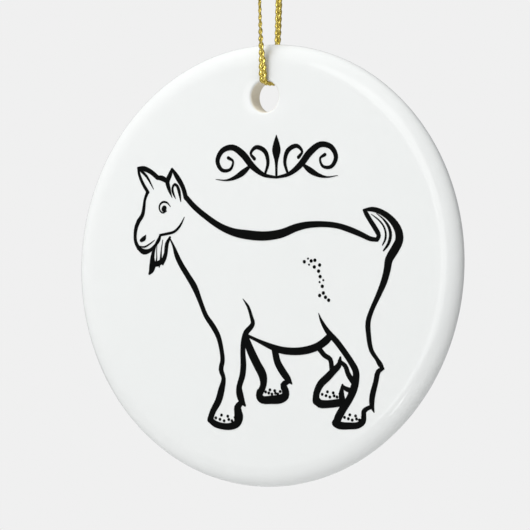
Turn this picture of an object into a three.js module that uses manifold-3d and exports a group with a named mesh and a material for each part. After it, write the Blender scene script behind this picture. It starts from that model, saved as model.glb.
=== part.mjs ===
// A round glazed ceramic ornament, printed with a standing goat, on a loop of flat gold braid.
//
// Millimetres, +Z up. The printed face looks along -Y.
// The origin is where the loop bears on its hook, just under the knot.
import * as THREE from 'three';
import { mergeVertices } from 'three/addons/utils/BufferGeometryUtils.js';
import Module from 'manifold-3d';

const wasm = await Module();
wasm.setup();

// Ceramic disc
const DISC_RADIUS = 36.5;
const DISC_THICKNESS = 3.2;
const EDGE_REACH = 3.4; // how far in from the rim the soft glazed edge begins
const HOLE_RADIUS = 2.6;
const HOLE_HEIGHT = 27.85; // the hole's centre above the disc's centre
const MOUTH_REACH = 0.5; // how far out from the hole's wall its rounded mouth begins
const MOUTH_DEPTH = 0.4;

// Flat gold braid
const CORD_WIDTH = 1.15;
const BUNCHED_WIDTH = 0.84; // in the hole, where the braid is drawn together
const CORD_THICKNESS = 0.52;
const BRAID_SIDES = 8;
const LOOP_DROP = 55.2; // from the hook down to the middle of the braid in the hole
const CORD_TO_WALL = 0.47; // from the middle of the braid up to the hole's wall
const GAP = 0.3; // between touching stretches of cord
const KNOT_RADIUS = 1.9;
const KNOT_HALF_HEIGHT = 1.7;
const KNOT_HEIGHT = 3.6; // the knot's centre above the hook

// Printed image
const INK_THICKNESS = 0.05;
const CAP_STEPS = 5;

const DISC_DROP = LOOP_DROP - CORD_TO_WALL + HOLE_RADIUS + HOLE_HEIGHT;

const glaze = { color: 0xf4f4f2, roughness: 0.12, metalness: 0 };
const ink = { color: 0x0b0c0b, roughness: 0.2, metalness: 0 };
const goldBraid = { color: 0xc39a35, roughness: 0.38, metalness: 0.9 };

function piece(name, geometry, finish) {
  const mesh = new THREE.Mesh(geometry, new THREE.MeshStandardMaterial(finish));
  mesh.name = name;
  return mesh;
}

function toSolid(geometry) {
  const bare = geometry.clone();
  bare.deleteAttribute('normal');
  bare.deleteAttribute('uv');
  const merged = mergeVertices(bare);
  return new wasm.Manifold(
    new wasm.Mesh({
      numProp: 3,
      vertProperties: new Float32Array(merged.getAttribute('position').array),
      triVerts: new Uint32Array(merged.getIndex().array),
    }),
  );
}

function toGeometry(solid) {
  const { vertProperties, triVerts } = solid.getMesh();
  const geometry = new THREE.BufferGeometry();
  geometry.setAttribute('position', new THREE.BufferAttribute(vertProperties, 3));
  geometry.setIndex(new THREE.BufferAttribute(triVerts, 1));
  return geometry;
}

// ---------------------------------------------------------------- ceramic disc

// A quarter of an ellipse round a centre, as a lathe profile: from the angle start to start + 90 degrees.
function quarterRound(centre, reach, depth, start, steps) {
  const points = [];
  for (let i = 0; i <= steps; i += 1) {
    const angle = start + (i / steps) * (Math.PI / 2);
    points.push(new THREE.Vector2(centre.x + reach * Math.cos(angle), centre.y + depth * Math.sin(angle)));
  }
  return points;
}

// Pressed blank with a soft, nearly bull-nosed rim, turned about Y.
function discBlank() {
  const half = DISC_THICKNESS / 2;
  const roundCentre = new THREE.Vector2(DISC_RADIUS - EDGE_REACH, 0);
  const profile = [
    new THREE.Vector2(0, -half),
    ...quarterRound(roundCentre, EDGE_REACH, half, -Math.PI / 2, 5),
    ...quarterRound(roundCentre, EDGE_REACH, half, 0, 5).slice(1),
    new THREE.Vector2(0, half),
  ];
  return new THREE.LatheGeometry(profile, 80);
}

// What the hole takes out: a straight bore whose two mouths flare softly into the faces.
function holeCutter() {
  const half = DISC_THICKNESS / 2;
  const flare = HOLE_RADIUS + MOUTH_REACH;
  const front = new THREE.Vector2(flare, MOUTH_DEPTH - half);
  const back = new THREE.Vector2(flare, half - MOUTH_DEPTH);
  const profile = [
    new THREE.Vector2(0, -DISC_THICKNESS),
    new THREE.Vector2(flare, -DISC_THICKNESS),
    ...quarterRound(front, MOUTH_REACH, MOUTH_DEPTH, Math.PI, 4).reverse(),
    ...quarterRound(back, MOUTH_REACH, MOUTH_DEPTH, Math.PI / 2, 4).reverse(),
    new THREE.Vector2(flare, DISC_THICKNESS),
    new THREE.Vector2(0, DISC_THICKNESS),
  ];
  const cutter = new THREE.LatheGeometry(profile, 32);
  cutter.translate(0, 0, HOLE_HEIGHT);
  return cutter;
}

const ornament = new THREE.Group();
ornament.position.z = -DISC_DROP;
const drilled = toSolid(discBlank()).subtract(toSolid(holeCutter()));
ornament.add(piece('ceramic_disc', toGeometry(drilled), glaze));

// --------------------------------------------------------------- printed image

// One brush stroke as a thin flat solid: a smooth line through [across, up, width] points.
function brushStroke(points, stepsPerPoint) {
  const controls = points.map(([across, up, width]) => new THREE.Vector3(across, up, width));
  const line = new THREE.CatmullRomCurve3(controls, false, 'centripetal');
  const steps = (points.length - 1) * stepsPerPoint;
  const left = [];
  const right = [];
  const ends = [];
  for (let i = 0; i <= steps; i += 1) {
    const at = line.getPoint(i / steps);
    const along = line.getTangent(i / steps).setZ(0).normalize();
    const side = new THREE.Vector2(-along.y, along.x).multiplyScalar(at.z / 2);
    left.push(new THREE.Vector2(at.x, at.y).add(side));
    right.push(new THREE.Vector2(at.x, at.y).sub(side));
    if (i === 0 || i === steps) {
      ends.push({ at, side });
    }
  }
  const cap = ({ at, side }) => {
    const round = [];
    for (let i = 1; i < CAP_STEPS; i += 1) {
      const turned = side.clone().rotateAround(new THREE.Vector2(), (-i / CAP_STEPS) * Math.PI);
      round.push(turned.add(new THREE.Vector2(at.x, at.y)));
    }
    return round;
  };
  const start = { at: ends[0].at, side: ends[0].side.clone().negate() };
  const outline = [...left, ...cap(ends[1]), ...right.reverse(), ...cap(start)];
  return new THREE.ExtrudeGeometry(new THREE.Shape(outline), { depth: INK_THICKNESS, bevelEnabled: false });
}

// Strokes that cross or meet dry as one film of ink, which lies on the front face.
function inkFilm(name, strokes, stepsPerPoint) {
  const solids = strokes.map((points) => toSolid(brushStroke(points, stepsPerPoint)));
  const film = solids.reduce((all, next) => all.add(next));
  const mesh = piece(name, toGeometry(film).rotateX(Math.PI / 2), ink);
  mesh.position.y = -DISC_THICKNESS / 2;
  return mesh;
}

const goatHead = [
  // left ear: front edge, top edge with the poll's tuft, inner fold
  [[-24.4, 16.7, 0.4], [-24.2, 15.6, 0.5], [-23.5, 14.1, 0.55], [-22.5, 12.6, 0.6]],
  [[-24.4, 16.7, 0.5], [-23.3, 16.6, 0.85], [-21.9, 16.0, 0.8], [-20.6, 15.0, 0.8]],
  [[-20.8, 15.0, 0.6], [-19.8, 14.9, 0.9], [-18.8, 14.4, 0.8]],
  [[-24.0, 16.4, 0.5], [-22.7, 15.2, 0.45], [-21.4, 13.1, 0.1]],
  // right ear: front edge and its fold, back edge
  [[-17.8, 16.4, 0.4], [-18.2, 15.4, 0.8], [-18.7, 14.3, 0.8], [-18.4, 13.1, 0.65], [-17.8, 11.6, 0.1]],
  [[-17.8, 16.4, 0.4], [-16.8, 15.0, 0.85], [-15.7, 13.3, 0.8], [-15.1, 11.5, 0.85]],
  // forehead, nose and chin
  [[-22.6, 12.6, 0.6], [-23.1, 11.4, 0.5], [-23.3, 10.0, 0.6], [-23.6, 8.8, 0.7], [-24.3, 7.9, 0.75]],
  [[-24.3, 7.9, 0.75], [-24.8, 6.8, 0.7], [-25.0, 5.5, 0.6], [-24.9, 4.4, 0.6], [-24.3, 3.3, 0.7]],
  [[-24.3, 3.3, 0.6], [-23.3, 2.7, 0.95], [-22.1, 2.9, 0.65], [-21.1, 3.7, 0.5], [-20.3, 4.6, 0.45],
    [-20.1, 5.4, 0.4]],
  // mouth and cheek
  [[-24.5, 3.7, 0.2], [-23.2, 3.5, 0.3], [-22.1, 4.0, 0.25], [-21.2, 4.6, 0.1]],
  [[-20.1, 5.4, 0.45], [-18.8, 5.6, 0.45], [-17.4, 5.9, 0.45], [-16.3, 6.8, 0.4], [-15.4, 8.3, 0.1]],
  // beard: front lock, two inner hairs, the ragged lower edge, back lock
  [[-20.1, 5.3, 0.4], [-21.1, 3.6, 0.45], [-21.6, 1.8, 0.75], [-21.6, 0.4, 1.2], [-21.8, -0.4, 1.0],
    [-22.2, -1.0, 0.4]],
  [[-20.7, 4.2, 0.1], [-20.8, 2.6, 0.15], [-20.8, 1.3, 0.25], [-21.2, 0.3, 0.6]],
  [[-19.6, 4.6, 0.1], [-19.9, 2.8, 0.2], [-20.0, 1.3, 0.4], [-20.3, 0.1, 0.2]],
  [[-21.5, 0.5, 0.8], [-20.4, 0.7, 0.9], [-19.5, 1.3, 0.8]],
  [[-18.2, 5.0, 0.4], [-18.8, 3.9, 0.7], [-19.0, 2.4, 0.7], [-19.3, 1.5, 0.8], [-19.6, 0.5, 0.3]],
];

const goatBody = [
  // neck and back
  [[-15.0, 11.5, 0.9], [-13.5, 10.0, 0.95], [-11.1, 8.2, 1.0], [-8.5, 6.6, 1.1], [-6.0, 5.6, 1.3],
    [-3.4, 5.1, 1.55], [-0.4, 4.8, 1.55], [1.7, 4.9, 1.5], [3.5, 5.2, 1.45], [5.9, 6.0, 1.3],
    [7.9, 6.4, 1.15], [10.8, 6.5, 1.0], [13.7, 6.2, 0.95], [16.1, 5.5, 1.0], [18.4, 4.6, 0.9],
    [20.0, 3.9, 0.8], [21.3, 3.7, 0.7]],
  // tail: under edge, outer edge running down the rump
  [[21.3, 3.7, 0.7], [21.6, 4.4, 0.8], [21.0, 5.5, 0.85], [20.0, 6.9, 0.8], [19.2, 8.1, 0.75],
    [18.8, 8.6, 0.4]],
  [[18.8, 8.6, 0.4], [20.4, 8.7, 0.8], [22.3, 8.1, 0.95], [24.2, 6.7, 1.15], [25.3, 5.0, 1.4],
    [25.4, 3.5, 1.5], [24.5, 1.9, 1.55], [23.5, 0.4, 1.45], [23.2, -1.1, 1.3], [22.6, -3.1, 1.2],
    [21.5, -5.4, 0.95], [20.3, -7.7, 0.85], [19.6, -9.7, 0.95], [19.7, -11.9, 0.9], [20.2, -14.3, 0.8],
    [21.2, -15.7, 0.7], [21.9, -16.7, 0.9], [22.5, -17.4, 0.3]],
  // chest, running down the front of the near foreleg
  [[-18.2, 4.8, 0.2], [-17.5, 3.5, 0.45], [-16.9, 2.0, 0.85], [-16.1, 0.5, 0.95], [-14.7, -1.5, 1.0],
    [-13.4, -3.4, 1.1], [-12.3, -5.8, 0.85], [-11.2, -8.2, 0.85], [-9.8, -10.0, 0.95],
    [-8.8, -11.7, 0.9], [-8.2, -13.9, 0.8], [-8.0, -15.6, 0.85], [-8.3, -17.1, 0.9],
    [-7.8, -18.6, 0.8], [-8.2, -20.4, 1.2], [-8.8, -22.3, 1.25], [-9.8, -23.9, 1.1], [-10.4, -25.4, 1.1]],
  // shoulder, elbow and the back of the near foreleg
  [[-4.1, -5.5, 0.1], [-3.1, -6.8, 0.5], [-2.5, -8.4, 0.6], [-2.2, -9.6, 0.8], [-2.6, -10.2, 0.9],
    [-3.5, -11.1, 1.0], [-4.0, -12.6, 0.95], [-4.1, -14.4, 0.95], [-4.0, -16.4, 1.1], [-4.2, -18.2, 1.1],
    [-4.8, -20.0, 1.05], [-4.7, -21.2, 1.3], [-4.3, -22.3, 1.1], [-3.7, -23.1, 0.4]],
  // belly
  [[-3.4, -11.5, 0.5], [-1.3, -12.4, 0.6], [1.4, -13.5, 1.0], [3.5, -14.1, 1.2], [5.9, -14.3, 1.25],
    [8.2, -14.1, 1.3], [10.2, -13.5, 1.3], [11.7, -12.6, 1.35], [12.5, -11.8, 1.2]],
  // flank, running down the front of the near hind leg
  [[10.3, -8.1, 0.1], [10.8, -9.3, 0.5], [12.0, -11.1, 0.9], [13.7, -12.8, 1.05], [15.3, -14.7, 1.05],
    [16.5, -16.3, 1.1], [17.3, -17.7, 1.2], [17.3, -19.1, 1.3], [16.9, -20.6, 1.4], [16.1, -22.2, 1.3],
    [14.9, -23.8, 1.4], [14.0, -25.2, 1.4], [13.6, -26.2, 1.3]],
  // hock and the back of the near hind leg
  [[22.4, -17.3, 0.5], [21.5, -17.8, 0.9], [21.0, -19.6, 0.95], [20.4, -21.7, 1.05], [20.3, -23.2, 0.9],
    [20.7, -24.4, 0.2]],
  // far foreleg: front, back
  [[-3.6, -11.9, 1.2], [-2.6, -14.1, 1.45], [-1.4, -16.3, 1.5], [-0.3, -18.2, 1.55], [-0.2, -19.8, 1.2],
    [-0.8, -21.0, 1.2]],
  [[2.0, -14.0, 1.2], [2.5, -16.0, 1.25], [3.5, -17.6, 1.3], [4.5, -18.8, 1.1], [5.2, -19.6, 0.3]],
  // far hind leg: front, and the hock behind the near leg
  [[14.4, -15.4, 0.4], [14.1, -16.7, 1.0], [13.1, -17.6, 1.2], [12.0, -18.6, 1.3], [10.7, -19.7, 1.3],
    [9.9, -21.2, 1.2], [9.8, -22.5, 1.3]],
  [[14.8, -19.9, 0.4], [14.6, -21.4, 1.0], [14.8, -22.7, 1.2]],
  [[14.8, -20.1, 0.5], [15.6, -20.6, 0.8], [16.8, -20.9, 0.9]],
  // udder and teats
  [[10.4, -13.9, 0.9], [11.4, -15.0, 0.85], [12.5, -15.7, 0.85], [12.8, -17.4, 0.9]],
  [[14.2, -16.0, 0.6], [15.3, -16.8, 0.8], [15.9, -18.2, 0.9], [16.8, -19.4, 1.0]],
];

const goatHooves = [
  // near fore: sole, then up over the heel
  [[-10.4, -25.4, 1.0], [-9.4, -26.1, 1.1], [-7.9, -26.5, 1.1], [-6.3, -26.5, 1.2], [-5.2, -26.0, 1.4],
    [-4.9, -25.0, 1.7], [-5.0, -24.2, 1.5], [-5.1, -23.4, 1.3], [-4.4, -22.6, 0.9]],
  // far fore
  [[-0.9, -20.9, 1.2], [-0.9, -21.7, 1.3], [-0.3, -22.2, 1.3], [1.3, -22.2, 1.4], [3.0, -22.1, 1.5],
    [4.0, -21.6, 1.4], [4.0, -20.7, 1.3], [3.6, -19.8, 1.1], [4.6, -19.2, 0.8]],
  // near hind
  [[13.5, -26.1, 1.4], [14.3, -26.5, 1.3], [16.1, -26.6, 1.15], [17.7, -26.5, 1.1], [18.6, -25.9, 1.1],
    [18.8, -25.1, 0.9], [18.8, -24.3, 0.9], [19.4, -23.8, 0.75], [20.3, -23.5, 0.7]],
  // far hind
  [[9.8, -22.2, 1.3], [10.5, -22.9, 1.4], [12.2, -23.0, 1.3], [14.3, -22.8, 1.3], [15.6, -22.8, 1.1]],
];

ornament.add(inkFilm('printed_goat', [...goatHead, ...goatBody, ...goatHooves], 3));

// The eye is an open ring with the pupil under its lid, and the nostril is a comma.
const eye = [
  [[-18.9, 9.4, 0.2], [-19.6, 9.1, 0.25], [-20.2, 9.6, 0.25], [-20.2, 10.4, 0.3], [-19.6, 10.9, 0.35],
    [-18.8, 10.8, 0.3], [-18.1, 10.1, 0.1]],
  [[-19.4, 9.7, 0.9], [-19.3, 9.9, 0.9]],
];
const nostril = [[-23.8, 4.6, 0.6], [-23.3, 4.9, 0.8], [-22.9, 5.5, 0.1]];
ornament.add(inkFilm('printed_eye', eye, 4));
ornament.add(inkFilm('printed_nostril', [nostril], 3));

// Loose hairs that touch no other line: the fold inside the right ear and two locks in the tail.
const earFold = [
  [-17.1, 11.4, 0.1], [-17.6, 12.4, 0.4], [-17.7, 13.2, 0.4], [-17.3, 13.8, 0.45], [-16.8, 13.5, 0.5],
  [-16.4, 12.5, 0.55], [-16.1, 10.9, 0.15],
];
const longLock = [
  [21.2, 8.0, 0.1], [22.5, 7.0, 0.3], [23.5, 5.7, 0.5], [23.8, 4.4, 0.55], [23.4, 3.0, 0.5], [22.5, 1.9, 0.25],
];
const shortLock = [
  [20.2, 7.9, 0.1], [21.5, 7.0, 0.25], [22.5, 5.9, 0.3], [22.9, 4.7, 0.35], [22.8, 3.7, 0.35], [22.3, 2.8, 0.2],
];
ornament.add(inkFilm('printed_ear_fold', [earFold], 3));
ornament.add(inkFilm('printed_long_lock', [longLock], 3));
ornament.add(inkFilm('printed_short_lock', [shortLock], 3));

// A scroll of leaves over the goat's back. The right half is drawn, and the left half mirrors it.
const SCROLL_CENTRE = [2.3, 17.3];
const scrollRight = [
  // long rinceau: out from the foot, over and into its spiral
  [[0, -2.9, 0.4], [2.4, -2.4, 0.7], [4.6, -0.9, 1.1], [6.4, 1.1, 1.2], [8.4, 2.3, 1.0], [10.4, 1.8, 0.9],
    [11.3, 0.1, 0.8], [10.4, -1.4, 0.65], [8.8, -1.3, 0.5], [8.3, 0.0, 0.4], [9.2, 0.6, 0.6]],
  // inner curl
  [[2.2, -2.4, 0.4], [1.6, -0.4, 0.6], [2.2, 1.5, 0.8], [3.9, 2.2, 0.7], [4.9, 1.2, 0.45], [4.2, 0.3, 0.6]],
  // leaf under the spiral, and the fine tail that runs off it
  [[4.9, -0.8, 0.4], [6.4, -1.9, 1.0], [7.9, -2.7, 0.7], [9.6, -3.1, 0.3], [11.6, -2.9, 0.1]],
];
const bud = [[0, -2.9, 0.4], [0, -0.4, 0.6], [0, 1.6, 1.6], [0, 2.8, 1.1], [0, 4.1, 0.1]];
const place = (mirror) => ([across, up, width]) => [
  SCROLL_CENTRE[0] + mirror * across,
  SCROLL_CENTRE[1] + up,
  width,
];
const scroll = [1, -1].flatMap((mirror) => scrollRight.map((points) => points.map(place(mirror))));
ornament.add(inkFilm('printed_scroll', [...scroll, bud.map(place(1))], 4));

// ------------------------------------------------------------------ cord loop

// The braid's flat section, its width across X.
function braidSection(width) {
  const points = [];
  for (let i = 0; i < BRAID_SIDES; i += 1) {
    const angle = ((i + 0.5) / BRAID_SIDES) * 2 * Math.PI;
    const corner = new THREE.Vector2(width / 2, CORD_THICKNESS / 2);
    points.push(corner.multiply(new THREE.Vector2(Math.cos(angle), Math.sin(angle))));
  }
  return new THREE.Shape(points);
}

function cordStretch(name, route, steps, width = CORD_WIDTH) {
  const extrudePath = new THREE.CatmullRomCurve3(route.map((point) => new THREE.Vector3(...point)));
  const tube = new THREE.ExtrudeGeometry(braidSection(width), { extrudePath, steps, bevelEnabled: false });
  return piece(name, tube, goldBraid);
}

const alongY = (side) => ([y, z]) => [0, side * y, z];

// [distance from the disc's middle plane, height] from the middle of the hole round its mouth to the face.
const bightHalf = [
  [0, -LOOP_DROP], [0.6, -55.2], [1.15, -55.17], [1.65, -54.97], [1.98, -54.58], [2.1, -54.0], [2.16, -53.4],
  [2.2, -52.9],
];
// Up the face, past the disc's edge and in to the knot.
const strandHalf = [
  [2.22, GAP - 52.9], [2.42, -50.6], [2.75, -48.1], [3.0, -44.5], [3.17, -40.7], [3.35, -34.0],
  [3.4, -27.0], [3.2, -19.5], [2.7, -12.5], [1.95, -6.0], [1.15, -1.0], [0.7, 1.6],
];
const bight = [...bightHalf.slice(1).map(alongY(1)).reverse(), ...bightHalf.map(alongY(-1))];
const cord = new THREE.Group();
cord.add(cordStretch('cord_bight', bight, 22, BUNCHED_WIDTH));
cord.add(cordStretch('cord_front_strand', strandHalf.map(alongY(-1)), 20));
cord.add(cordStretch('cord_back_strand', strandHalf.map(alongY(1)), 20));

// Overhand knot that ties the two strands, with their cut ends standing out of its top.
const knotProfile = [
  [0, -1], [0.45, -1], [0.85, -0.75], [1, -0.2], [1, 0.2], [0.85, 0.75], [0.45, 1], [0, 1],
].map(([out, up]) => new THREE.Vector2(out * KNOT_RADIUS, up * KNOT_HALF_HEIGHT));
const knot = piece('cord_knot', new THREE.LatheGeometry(knotProfile, 16), goldBraid);
knot.rotation.x = Math.PI / 2;
knot.position.z = KNOT_HEIGHT;
cord.add(knot);

const tailStart = KNOT_HEIGHT + KNOT_HALF_HEIGHT + GAP;
const tailLeft = [[-0.6, -0.3, tailStart], [-1.0, -0.5, 8.2], [-1.9, -0.9, 10.9], [-3.1, -1.2, 13.2]];
const tailRight = [[0.7, 0.3, tailStart], [1.0, 0.6, 7.8], [1.6, 1.2, 9.8], [2.7, 1.6, 11.9]];
cord.add(cordStretch('cord_tail_left', tailLeft, 5));
cord.add(cordStretch('cord_tail_right', tailRight, 5));

const group = new THREE.Group();
group.add(ornament, cord);

export default group;
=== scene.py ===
"""A round glazed ceramic ornament, printed with a standing goat, on a loop of flat gold braid."""

import math

import bmesh
import bpy
from mathutils import Matrix, Vector


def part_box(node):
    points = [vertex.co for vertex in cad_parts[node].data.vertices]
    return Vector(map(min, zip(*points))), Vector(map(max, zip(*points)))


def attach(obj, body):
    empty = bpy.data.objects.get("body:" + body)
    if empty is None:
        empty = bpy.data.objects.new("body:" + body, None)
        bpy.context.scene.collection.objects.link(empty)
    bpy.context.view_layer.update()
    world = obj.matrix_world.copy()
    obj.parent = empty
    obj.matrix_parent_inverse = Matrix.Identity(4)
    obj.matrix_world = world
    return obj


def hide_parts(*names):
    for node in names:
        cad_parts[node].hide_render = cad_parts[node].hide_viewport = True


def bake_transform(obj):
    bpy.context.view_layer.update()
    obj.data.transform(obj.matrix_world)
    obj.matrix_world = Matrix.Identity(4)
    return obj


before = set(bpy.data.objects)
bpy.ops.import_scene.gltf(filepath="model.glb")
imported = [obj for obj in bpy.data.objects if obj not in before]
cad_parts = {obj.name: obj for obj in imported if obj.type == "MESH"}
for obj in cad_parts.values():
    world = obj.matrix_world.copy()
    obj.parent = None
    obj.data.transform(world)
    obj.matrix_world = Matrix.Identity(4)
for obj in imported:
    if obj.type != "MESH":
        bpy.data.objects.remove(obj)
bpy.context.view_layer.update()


# ------------------------------------------------------------------ glazed disc
# A pressed and fired ceramic blank with a soft rim, bored near its edge for the cord.
# Its gloss coat pools in a low roll round the rim and round the hole's mouths.

FULL_TURN = 2 * math.pi
MM = 0.001

lowest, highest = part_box("ceramic_disc")
disc_middle = (lowest + highest) / 2
disc_radius = (highest.x - lowest.x) / 2
half_thick = (highest.y - lowest.y) / 2
edge_reach = 3.4 * MM
hole_radius = 2.6 * MM
hole_middle = disc_middle + Vector((0, 0, 27.85 * MM))
mouth_reach = 0.5 * MM
mouth_depth = 0.4 * MM
dish_reach = 1.9 * MM
flat_margin = 0.06 * MM
bare_blur = 0.2 * MM
rim_steps = 14
rim_turn_steps = 224
mouth_steps = 8
bore_turn_steps = 112

# The glaze's relief is a bump whose heights are in mm.
dish_depth = 0.08
wave_depth = 0.004


def quarter_round(middle, reach, depth, start, steps):
    """A quarter of an ellipse, as (distance from the axis, place front to back) pairs."""
    turns = [start + step / steps * math.pi / 2 for step in range(steps + 1)]
    return [(middle[0] + reach * math.cos(a), middle[1] + depth * math.sin(a)) for a in turns]


def turn_shell(mesh, profile, centre, steps):
    """Spins an open profile about the axis that runs front to back through centre."""
    points = [mesh.verts.new((centre.x + out, centre.y + back, centre.z)) for out, back in profile]
    lines = [mesh.edges.new(pair) for pair in zip(points, points[1:])]
    bmesh.ops.spin(
        mesh, geom=points + lines, cent=centre, axis=(0, 1, 0), angle=FULL_TURN, steps=steps, use_merge=True
    )


def finished(mesh, name, material, smooth=True):
    """Turns a bmesh into an object that sits at the origin."""
    data = bpy.data.meshes.new(name)
    mesh.to_mesh(data)
    mesh.free()
    for polygon in data.polygons:
        polygon.use_smooth = smooth
    data.materials.append(material)
    piece = bpy.data.objects.new(name, data)
    bpy.context.scene.collection.objects.link(piece)
    return piece


class Reading:
    """A shader socket whose value can be used in sums."""

    def __init__(self, finish, socket):
        self.finish = finish
        self.socket = socket

    def beside(self, output):
        """Another output of the same node."""
        return Reading(self.finish, self.socket.node.outputs[output])

    def sum(self, operation, first, second):
        return self.finish.add("Math", {"operation": operation}, {0: first, 1: second})

    def __add__(self, other):
        return self.sum("ADD", self, other)

    def __sub__(self, other):
        return self.sum("SUBTRACT", self, other)

    def __rsub__(self, other):
        return self.sum("SUBTRACT", other, self)

    def __mul__(self, other):
        return self.sum("MULTIPLY", self, other)

    def __pow__(self, other):
        return self.sum("POWER", self, other)

    __radd__ = __add__
    __rmul__ = __mul__


class Finish:
    """A material made of nodes around one Principled shader."""

    def __init__(self, name, **constants):
        self.material = bpy.data.materials.new(name)
        self.material.use_nodes = True
        self.tree = self.material.node_tree
        self.shader = self.tree.nodes["Principled BSDF"]
        for socket, value in constants.items():
            self.shader.inputs[socket.replace("_", " ").title().replace("Ior", "IOR")].default_value = value

    def add(self, kind, settings=None, sockets=None, output=0):
        """Adds any node: its settings first, then the values or links of its sockets."""
        node = self.tree.nodes.new("ShaderNode" + kind)
        for name, value in (settings or {}).items():
            setattr(node, name, value)
        for name, value in (sockets or {}).items():
            self.feed(node.inputs[name], value)
        return Reading(self, node.outputs[output])

    def feed(self, socket, value):
        if isinstance(value, Reading):
            self.tree.links.new(value.socket, socket)
        else:
            socket.default_value = value

    def object_place(self):
        """The place on the piece, in metres from its origin."""
        return self.add("TexCoord", output="Object")

    def fade(self, value, low, high, start, end):
        """Goes from start to end as value goes from low to high, and stays level outside them."""
        ends = {"From Min": low, "From Max": high, "To Min": start, "To Max": end}
        return self.add("MapRange", None, {"Value": value, **ends})

    def blend_colours(self, share, first, second):
        """A colour that goes from first to second as share goes from 0 to 1."""
        first_colour, second_colour, blended_colour = 6, 7, 2
        sockets = {"Factor": share, first_colour: first, second_colour: second}
        return self.add("Mix", {"data_type": "RGBA"}, sockets, blended_colour)

    def relief(self, height, distance, strength=1.0):
        """Feeds a height into the shader's normal, through a bump."""
        bump = self.add("Bump", None, {"Height": height, "Distance": distance, "Strength": strength})
        self.feed(self.shader.inputs["Normal"], bump)


def glaze_finish():
    """White gloss glaze that sinks softly round the hole, over a body left bare and warmer in the bore."""
    glaze = Finish("white_glaze", ior=1.5)
    place = glaze.object_place()
    cloud = glaze.add("TexNoise", None, {"Vector": place, "Scale": 45.0, "Detail": 3.0})
    wave = glaze.add("TexNoise", None, {"Vector": place, "Scale": 160.0, "Detail": 1.0})
    across = glaze.add("SeparateXYZ", None, {"Vector": place})
    up = across.beside("Z") - hole_middle.z
    from_hole = (across * across + up * up) ** 0.5
    mouth = hole_radius + mouth_reach
    bare = glaze.fade(from_hole, hole_radius, hole_radius + bare_blur, 1, 0)
    sink = glaze.fade(from_hole, mouth, mouth + dish_reach, 1, 0)
    thin_glaze = (0.845, 0.86, 0.85, 1)
    full_glaze = (0.865, 0.875, 0.865, 1)
    bare_body = (0.82, 0.77, 0.66, 1)
    white = glaze.blend_colours(cloud, thin_glaze, full_glaze)
    glaze.feed(glaze.shader.inputs["Base Color"], glaze.blend_colours(bare, white, bare_body))
    glaze.feed(glaze.shader.inputs["Roughness"], 0.05 + 0.04 * cloud + 0.5 * bare)
    glaze.relief(wave_depth * wave - dish_depth * sink * sink, MM)
    return glaze.material


def glazed_disc():
    """The rim's roll, the bore with its rolled mouths, and the two flat faces that join them."""
    mesh = bmesh.new()
    flat_edge = disc_radius - edge_reach
    rim = [(flat_edge - flat_margin, -half_thick)]
    rim += quarter_round((flat_edge, 0), edge_reach, half_thick, -math.pi / 2, rim_steps)
    rim += quarter_round((flat_edge, 0), edge_reach, half_thick, 0, rim_steps)[1:]
    rim += [(flat_edge - flat_margin, half_thick)]
    turn_shell(mesh, rim, disc_middle, rim_turn_steps)
    flare = hole_radius + mouth_reach
    mouth_middle = half_thick - mouth_depth
    bore = [(flare + flat_margin, -half_thick)]
    bore += quarter_round((flare, -mouth_middle), mouth_reach, mouth_depth, math.pi, mouth_steps)[::-1]
    bore += quarter_round((flare, mouth_middle), mouth_reach, mouth_depth, math.pi / 2, mouth_steps)[::-1]
    bore += [(flare + flat_margin, half_thick)]
    turn_shell(mesh, bore, hole_middle, bore_turn_steps)
    for side in (-1, 1):
        rims = [e for e in mesh.edges if e.is_boundary and side * (e.verts[0].co.y - disc_middle.y) > 0]
        bmesh.ops.triangle_fill(mesh, edges=rims, use_beauty=True, normal=(0, side, 0))
    bmesh.ops.recalc_face_normals(mesh, faces=mesh.faces)
    return finished(mesh, "glazed_disc", glaze_finish())


disc = glazed_disc()
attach(disc, "ornament")
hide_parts("ceramic_disc")


# ---------------------------------------------------------------- printed image
# The goat and the scroll are one print in black, laid on the glaze and fired under a thin gloss coat.
# Its lines are low raised films, and the specks of hair are small dots of the same ink.

speck_radius = 0.3 * MM
speck_height = 0.05 * MM
speck_sides = 14
small_share = 0.6
hoof_share = 0.85


def ink_finish():
    """Black print with the coat's gloss over it, its tone a little uneven where the ink is thin."""
    ink = Finish("fired_black_ink", specular_ior_level=0.05)
    place = ink.object_place()
    grain = ink.add("TexNoise", None, {"Vector": place, "Scale": 900.0, "Detail": 4.0})
    dense_ink = (0.0015, 0.0017, 0.0016, 1)
    thin_ink = (0.003, 0.0033, 0.0032, 1)
    tone = ink.blend_colours(grain, dense_ink, thin_ink)
    ink.feed(ink.shader.inputs["Base Color"], tone)
    ink.feed(ink.shader.inputs["Roughness"], 0.3 + 0.1 * grain)
    return ink.material


black_ink = ink_finish()
for name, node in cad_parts.items():
    if name.startswith("printed_"):
        node.data.materials.clear()
        node.data.materials.append(black_ink)


def speck(mesh, across, up, radius):
    """One low dot of ink on the disc's front face."""
    middle = disc_middle + Vector((across * MM, -half_thick - speck_height / 2, up * MM))
    place = Matrix.Translation(middle) @ Matrix.Rotation(math.pi / 2, 4, "X")
    bmesh.ops.create_cone(
        mesh, cap_ends=True, segments=speck_sides,
        radius1=radius, radius2=radius, depth=speck_height, matrix=place,
    )


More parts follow.
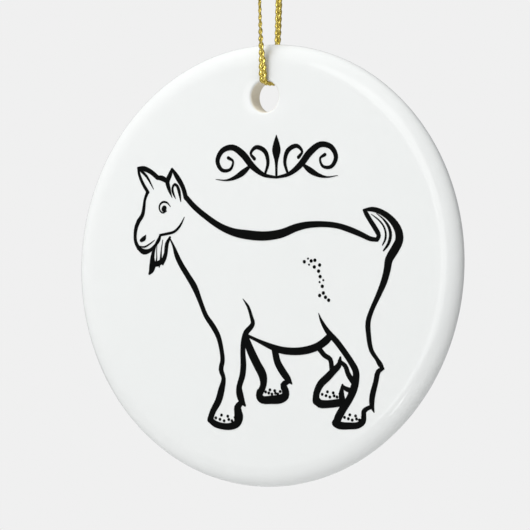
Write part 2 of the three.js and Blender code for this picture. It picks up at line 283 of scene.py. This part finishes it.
def ink_specks():
    """The hair's dots, in mm from the disc's middle: a hooked line down the flank, and some on each hoof."""
    flank = [
        (7.6, 0.4), (8.9, 0.5), (9.6, 0.6), (9.5, -0.5), (10.5, -0.2), (10.3, -1.2),
        (10.6, -2.1), (11.0, -3.7), (11.2, -4.8), (10.5, -5.2), (11.6, -5.5), (12.2, -6.0),
    ]
    small = [(8.3, 0.9), (8.5, -0.1), (10.5, -3.0), (11.2, -2.7)]
    hoof = [
        (-1.8, 0.0), (-0.7, 0.45), (0.5, 0.25), (-1.0, -0.25),
        (-0.2, -0.5), (0.7, -0.3), (1.9, 0.05), (1.3, -0.5),
    ]
    hooves = [(-7.5, -25.1, 1.0), (1.6, -20.9, 0.75), (12.6, -21.4, 0.9), (16.8, -25.2, 0.9)]
    mesh = bmesh.new()
    for across, up in flank:
        speck(mesh, across, up, speck_radius)
    for across, up in small:
        speck(mesh, across, up, small_share * speck_radius)
    for hoof_across, hoof_up, spread in hooves:
        for across, up in hoof:
            speck(mesh, hoof_across + spread * across, hoof_up + spread * up, hoof_share * speck_radius)
    return finished(mesh, "printed_specks", black_ink, smooth=False)


specks = ink_specks()
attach(specks, "ornament")


# ------------------------------------------------------------------- gold cord
# One length of flat braid, plaited from three flat metallic yarns, goes through the hole and up both faces.
# It is drawn together where it bears on the hole's wall, and each strand turns as it rises to the knot.

braid_width = 1.15 * MM
bunched_width = 0.84 * MM
bunched_thickness = 0.72 * MM
braid_thickness = 0.52 * MM
yarn_share = 0.5
yarn_depth = 0.52
plait_pitch = 3.5 * MM
ring_gap = 0.12 * MM
yarn_sides = 8
swing_reach = 1.13
swing_square = 0.13
fray_length = 1.4 * MM
filaments = 6
filament_slant = 0.25
curve_steps = 16

bight_half = [
    (0, -55.2), (0.6, -55.2), (1.15, -55.17), (1.65, -54.97),
    (1.98, -54.58), (2.1, -54.0), (2.16, -53.4), (2.2, -52.9),
]
strand_half = [
    (2.22, -52.6), (2.42, -50.6), (2.75, -48.1), (3.0, -44.5), (3.17, -40.7), (3.35, -34.0),
    (3.4, -27.0), (3.2, -19.5), (2.7, -12.5), (1.95, -6.0), (1.15, -1.0), (0.7, 1.6),
]


def on_side(half, side):
    """The route's points on one face of the disc, from (distance from its middle plane, height) in mm."""
    return [Vector((0, side * out, up)) * MM for out, up in half]


def smooth_line(points, gap):
    """Points an even gap apart on a smooth line through the route's points."""
    reach = [2 * points[0] - points[1], *points, 2 * points[-1] - points[-2]]
    fine = []
    for before, start, end, after in zip(reach, reach[1:], reach[2:], reach[3:]):
        for step in range(curve_steps):
            t = step / curve_steps
            bend = (2 * before - 5 * start + 4 * end - after) * t
            bend += (3 * (start - end) + after - before) * t * t
            fine.append(start + (end - before + bend) * t / 2)
    fine.append(points[-1])
    length = sum((b - a).length for a, b in zip(fine, fine[1:]))
    step = length / round(length / gap)
    even = [fine[0]]
    walked = 0.0
    for a, b in zip(fine, fine[1:]):
        stretch = (b - a).length
        while walked + stretch >= step * len(even) - 1e-9:
            even.append(a.lerp(b, (step * len(even) - walked) / stretch))
        walked += stretch
    return even, length


def between(value, pairs):
    """Reads a value off straight lines drawn between (place, value) pairs."""
    for (low, start), (high, end) in zip(pairs, pairs[1:]):
        if value <= high:
            return start + (end - start) * max(0.0, (value - low) / (high - low))
    return pairs[-1][1]


class Station:
    """One place along the braid: its direction, the way its width lies and its size there."""

    def __init__(self, place, along, side, width, thickness):
        self.place = place
        self.along = along
        self.side = (side - along * side.dot(along)).normalized()
        self.face = self.side.cross(along)
        self.width = width
        self.thickness = thickness


def directions(places):
    """The line's direction at each of its points."""
    ends = zip([places[0], *places], [*places[1:], places[-1]])
    return [(after - before).normalized() for before, after in ends]


def lay_yarn(mesh, stations, share, spread):
    """Rolls one sheet into a tube of yarn and lays it along the braid, swinging from edge to edge of it."""
    uv = mesh.loops.layers.uv.verify()
    rings = len(stations) - 1
    corners = bmesh.ops.create_grid(mesh, x_segments=yarn_sides, y_segments=rings, size=0.5)["verts"]
    for face in {face for corner in corners for face in corner.link_faces}:
        for loop in face.loops:
            loop[uv].uv = (loop.vert.co.x, (loop.vert.co.y + 0.5) * rings)
    walked = [0.0]
    for before, after in zip(stations, stations[1:]):
        walked.append(walked[-1] + (after.place - before.place).length)
    middles = []
    for station, distance in zip(stations, walked):
        opened = 1 + spread * max(0.0, 1 - (walked[-1] - distance) / fray_length)
        turn = FULL_TURN * (distance / plait_pitch + share)
        sway = swing_reach * math.sin(turn) + swing_square * math.sin(3 * turn)
        swing = (1 - yarn_share) * station.width / 2 * opened * sway
        lift = (1 - yarn_depth) * station.thickness / 2 * opened * math.sin(2 * turn)
        middles.append(station.place + station.side * swing + station.face * lift)
    ways = directions(middles)
    for corner in corners:
        index = round((corner.co.y + 0.5) * rings)
        turn = FULL_TURN * corner.co.x
        station = stations[index]
        across = (station.side - ways[index] * station.side.dot(ways[index])).normalized()
        out = ways[index].cross(across)
        corner.co = (
            middles[index]
            + across * math.cos(turn) * yarn_share * station.width / 2
            + out * math.sin(turn) * yarn_depth * station.thickness / 2
        )
    bmesh.ops.remove_doubles(mesh, verts=corners, dist=1e-7)
    bmesh.ops.holes_fill(mesh, edges=[edge for edge in mesh.edges if edge.is_boundary])


def braid(name, runs, material, spread=0.0):
    """A piece of braid: three yarns, a third of a swing apart, along each run of stations."""
    mesh = bmesh.new()
    for stations in runs:
        for share in (0, 1 / 3, 2 / 3):
            lay_yarn(mesh, stations, share, spread)
    bmesh.ops.recalc_face_normals(mesh, faces=mesh.faces)
    return finished(mesh, name, material)


def gold_finish():
    """Metallic gold yarn with flat filaments laid at a slant; its colour holds painted shade, olive gold in
    the grooves between them, and painted glints, pale gold on their crests and on random patches.
    """
    gold = Finish("gold_yarn", metallic=0.85)
    round_yarn = gold.add("SeparateXYZ", None, {"Vector": gold.add("UVMap")})
    along_yarn = round_yarn.beside("Y")
    slant = (round_yarn * filaments + along_yarn * filament_slant) * FULL_TURN
    groove = 0.5 + 0.5 * gold.add("Math", {"operation": "SINE"}, {0: slant})
    patches = gold.add("TexNoise", None, {"Vector": gold.object_place(), "Scale": 2600.0, "Detail": 2.0})
    # Painted shade and painted glints: this share runs from olive gold, painted shade in the grooves, to pale
    # gold, painted glints on the filaments' crests and on random patches.
    painted_glint_share = gold.fade(patches * 0.6 + groove * 0.4, 0.4, 0.62, 0, 1)
    painted_shade_gold = (0.34, 0.23, 0.003, 1)
    painted_glint_gold = (1.0, 0.82, 0.24, 1)
    gold.feed(gold.shader.inputs["Base Color"], gold.blend_colours(painted_glint_share, painted_shade_gold, painted_glint_gold))
    gold.feed(gold.shader.inputs["Roughness"], 0.42 - 0.18 * painted_glint_share)
    gold.relief(groove * 0.6 + patches * 0.4, 0.02 * MM, 0.6)
    return gold.material


def cord_stations():
    """The braid's way from the knot down the front, through the hole and up the back."""
    front = on_side(strand_half, -1)[::-1] + on_side(bight_half, -1)[::-1]
    back = on_side(bight_half, 1)[1:] + on_side(strand_half, 1)
    places, length = smooth_line(front + back, ring_gap)
    # Turns in degrees, shares and widths, each at a height in mm.
    front_turns = [(-54.0, 0), (-50.6, -10), (-48.1, -32), (-44.5, -48), (-40.7, -58), (1.6, -90)]
    back_turns = [(-54.0, 0), (-48.0, 0), (-40.7, 15), (1.6, 90)]
    bunching = [(-55.2, 1.0), (-54.5, 0.0)]
    widths = [
        (-55.2, bunched_width), (-55.0, 0.95 * braid_width), (-54.6, 1.25 * braid_width),
        (-53.4, 1.3 * braid_width), (-51.5, 1.15 * braid_width), (-49.5, braid_width),
    ]
    extra_thickness = bunched_thickness - braid_thickness
    stations = []
    for place, along in zip(places, directions(places)):
        height = place.z / MM
        turn = math.radians(between(height, back_turns if place.y > 0 else front_turns))
        side = Vector((math.cos(turn), math.sin(turn), 0))
        bunch = between(height, bunching)
        lifted = place + Vector((0, 0, extra_thickness / 2 * bunch))
        thickness = braid_thickness + extra_thickness * bunch
        stations.append(Station(lifted, along, side, between(height, widths), thickness))
    return stations, length


gold_yarn = gold_finish()
stations, cord_length = cord_stations()
cord = braid("gold_cord", [stations], gold_yarn)
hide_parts("cord_front_strand", "cord_back_strand", "cord_bight")
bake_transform(cord)


# ------------------------------------------------------------------------ knot
# Both strands are tied together in one overhand knot, which is pulled down tight above the loop.
# The two cut ends stand out of its top and fray open a little.

knot_low, knot_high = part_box("cord_knot")
knot_middle = (knot_low + knot_high) / 2
knot_reach = 0.42 * MM
knot_depth = 1.3
knot_height = 1.15
knot_nesting = 0.3
knot_steps = 12
fray_spread = 0.5
tail_left = [(-0.6, -0.3, 5.6), (-1.0, -0.5, 8.2), (-1.9, -0.9, 10.9), (-3.1, -1.2, 13.2)]
tail_right = [(0.7, 0.3, 5.6), (1.0, 0.6, 7.8), (1.6, 1.2, 9.8), (2.7, 1.6, 11.9)]


def knotted_run(side, tail):
    """One strand's way up into the knot, once round through its own loop, and out as a tail."""
    way = [Vector((0, side * 0.75, 1.5)) * MM, Vector((0, side * 0.6, 1.9)) * MM]
    for step in range(1, knot_steps):
        t = math.pi + FULL_TURN * step / knot_steps
        across = math.cos(t) - 2 * math.cos(2 * t) + 1
        back = -knot_depth * math.sin(3 * t)
        up = knot_height * (math.sin(t) + 2 * math.sin(2 * t))
        way.append(knot_middle + Vector((across, back, up)) * knot_reach * (1 + knot_nesting * side))
    way += [Vector(point) * MM for point in tail]
    places, _ = smooth_line(way, ring_gap)
    side_way = Vector((1, 0, 0))
    stations = []
    for place, along in zip(places, directions(places)):
        station = Station(place, along, side_way, braid_width, braid_thickness)
        side_way = station.side
        stations.append(station)
    return stations


knot_runs = [knotted_run(-1, tail_left), knotted_run(1, tail_right)]
knot = braid("overhand_knot", knot_runs, gold_yarn, spread=fray_spread)
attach(knot, "hanging_loop")
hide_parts("cord_knot", "cord_tail_left", "cord_tail_right")


# ---------------------------------------------------------------------- studio
# A plain pale floor well below the ornament, and a broad key light from the upper left with softer fills.
# The window light and the low lamp show in the rim's gloss, and the glint light falls on the gold alone.
# The camera looks at the print from its right, a touch from below, through a long lens.

floor_drop = 0.2
floor_radius = 0.9
floor_mesh = bmesh.new()
floor_place = Matrix.Translation((0, 0, lowest.z - floor_drop))
bmesh.ops.create_circle(floor_mesh, cap_ends=True, segments=96, radius=floor_radius, matrix=floor_place)
floor_paint = Finish("pale_floor", roughness=0.6)
floor_cloud = floor_paint.add("TexNoise", None, {"Vector": floor_paint.object_place(), "Scale": 3.0})
floor_tone = floor_paint.blend_colours(floor_cloud, (0.8, 0.8, 0.8, 1), (0.84, 0.84, 0.84, 1))
floor_paint.feed(floor_paint.shader.inputs["Base Color"], floor_tone)
floor = finished(floor_mesh, "floor", floor_paint.material)

# The camera sees a plain pale backdrop, while the pieces are lit by a dimmer room.
surround = bpy.data.worlds.new("studio_surround")
bpy.context.scene.world = surround
surround.use_nodes = True
surround_nodes = surround.node_tree.nodes
surround_links = surround.node_tree.links
backdrop = surround_nodes["Background"]
backdrop.inputs["Color"].default_value = (0.871, 0.871, 0.871, 1)
room = surround_nodes.new("ShaderNodeBackground")
room.inputs["Color"].default_value = (0.97, 0.99, 1.0, 1)
room.inputs["Strength"].default_value = 0.29
seen = surround_nodes.new("ShaderNodeLightPath")
chosen = surround_nodes.new("ShaderNodeMixShader")
surround_links.new(seen.outputs["Is Camera Ray"], chosen.inputs[0])
surround_links.new(room.outputs[0], chosen.inputs[1])
surround_links.new(backdrop.outputs[0], chosen.inputs[2])
surround_links.new(chosen.outputs[0], surround_nodes["World Output"].inputs[0])


def soft_light(name, place, width, height, power):
    """A softbox that faces the disc."""
    lamp = bpy.data.lights.new(name, "AREA")
    lamp.shape = "RECTANGLE"
    lamp.size = width
    lamp.size_y = height
    lamp.energy = power
    light = bpy.data.objects.new(name, lamp)
    light.location = disc_middle + Vector(place)
    light.rotation_euler = (disc_middle - light.location).to_track_quat("-Z", "Y").to_euler()
    bpy.context.scene.collection.objects.link(light)
    return light


soft_light("key_light", (-0.25, -0.5, 0.65), 0.7, 0.7, 7.15).visible_glossy = False
soft_light("fill_light", (0.9, -0.6, 0.2), 0.6, 0.6, 0.8).visible_glossy = False
soft_light("back_light", (-0.5, 1.0, 0.4), 0.7, 0.7, 5.0).visible_glossy = False
soft_light("window_light", (-0.297, -0.941, 0.165), 0.315, 0.52, 0.8)
soft_light("low_lamp", (-0.22, -0.95, -0.23), 0.06, 0.06, 0.06)
gold_pieces = bpy.data.collections.new("gold_pieces")
for piece in (cord, knot):
    gold_pieces.objects.link(piece)
glint_light = soft_light("glint_light", (-0.3, -0.85, 0.55), 0.4, 0.4, 4.0)
glint_light.light_linking.receiver_collection = gold_pieces

view_turn = math.radians(30.35)
view_rise = math.radians(-2.32)
view_distance = 0.95
view_width = 0.08747
sensor_width = 36.0
disc_off_middle = Vector((0.705, -0.07)) * MM

view_level = math.cos(view_rise)
view_back = Vector((math.sin(view_turn) * view_level, -math.cos(view_turn) * view_level, math.sin(view_rise)))
view_right = Vector((math.cos(view_turn), math.sin(view_turn), 0))
view_up = view_back.cross(view_right)
aim = disc_middle - view_right * disc_off_middle.x - view_up * disc_off_middle.y
lens = bpy.data.cameras.new("camera")
lens.sensor_width = sensor_width
lens.lens = sensor_width * view_distance / view_width
lens.clip_start = 0.01
camera = bpy.data.objects.new("camera", lens)
camera.matrix_world = Matrix.Translation(aim + view_back * view_distance) @ Matrix(
    (view_right, view_up, view_back)
).transposed().to_4x4()
bpy.context.scene.collection.objects.link(camera)
bpy.context.scene.camera = camera
bpy.context.scene.view_settings.view_transform = "Standard"
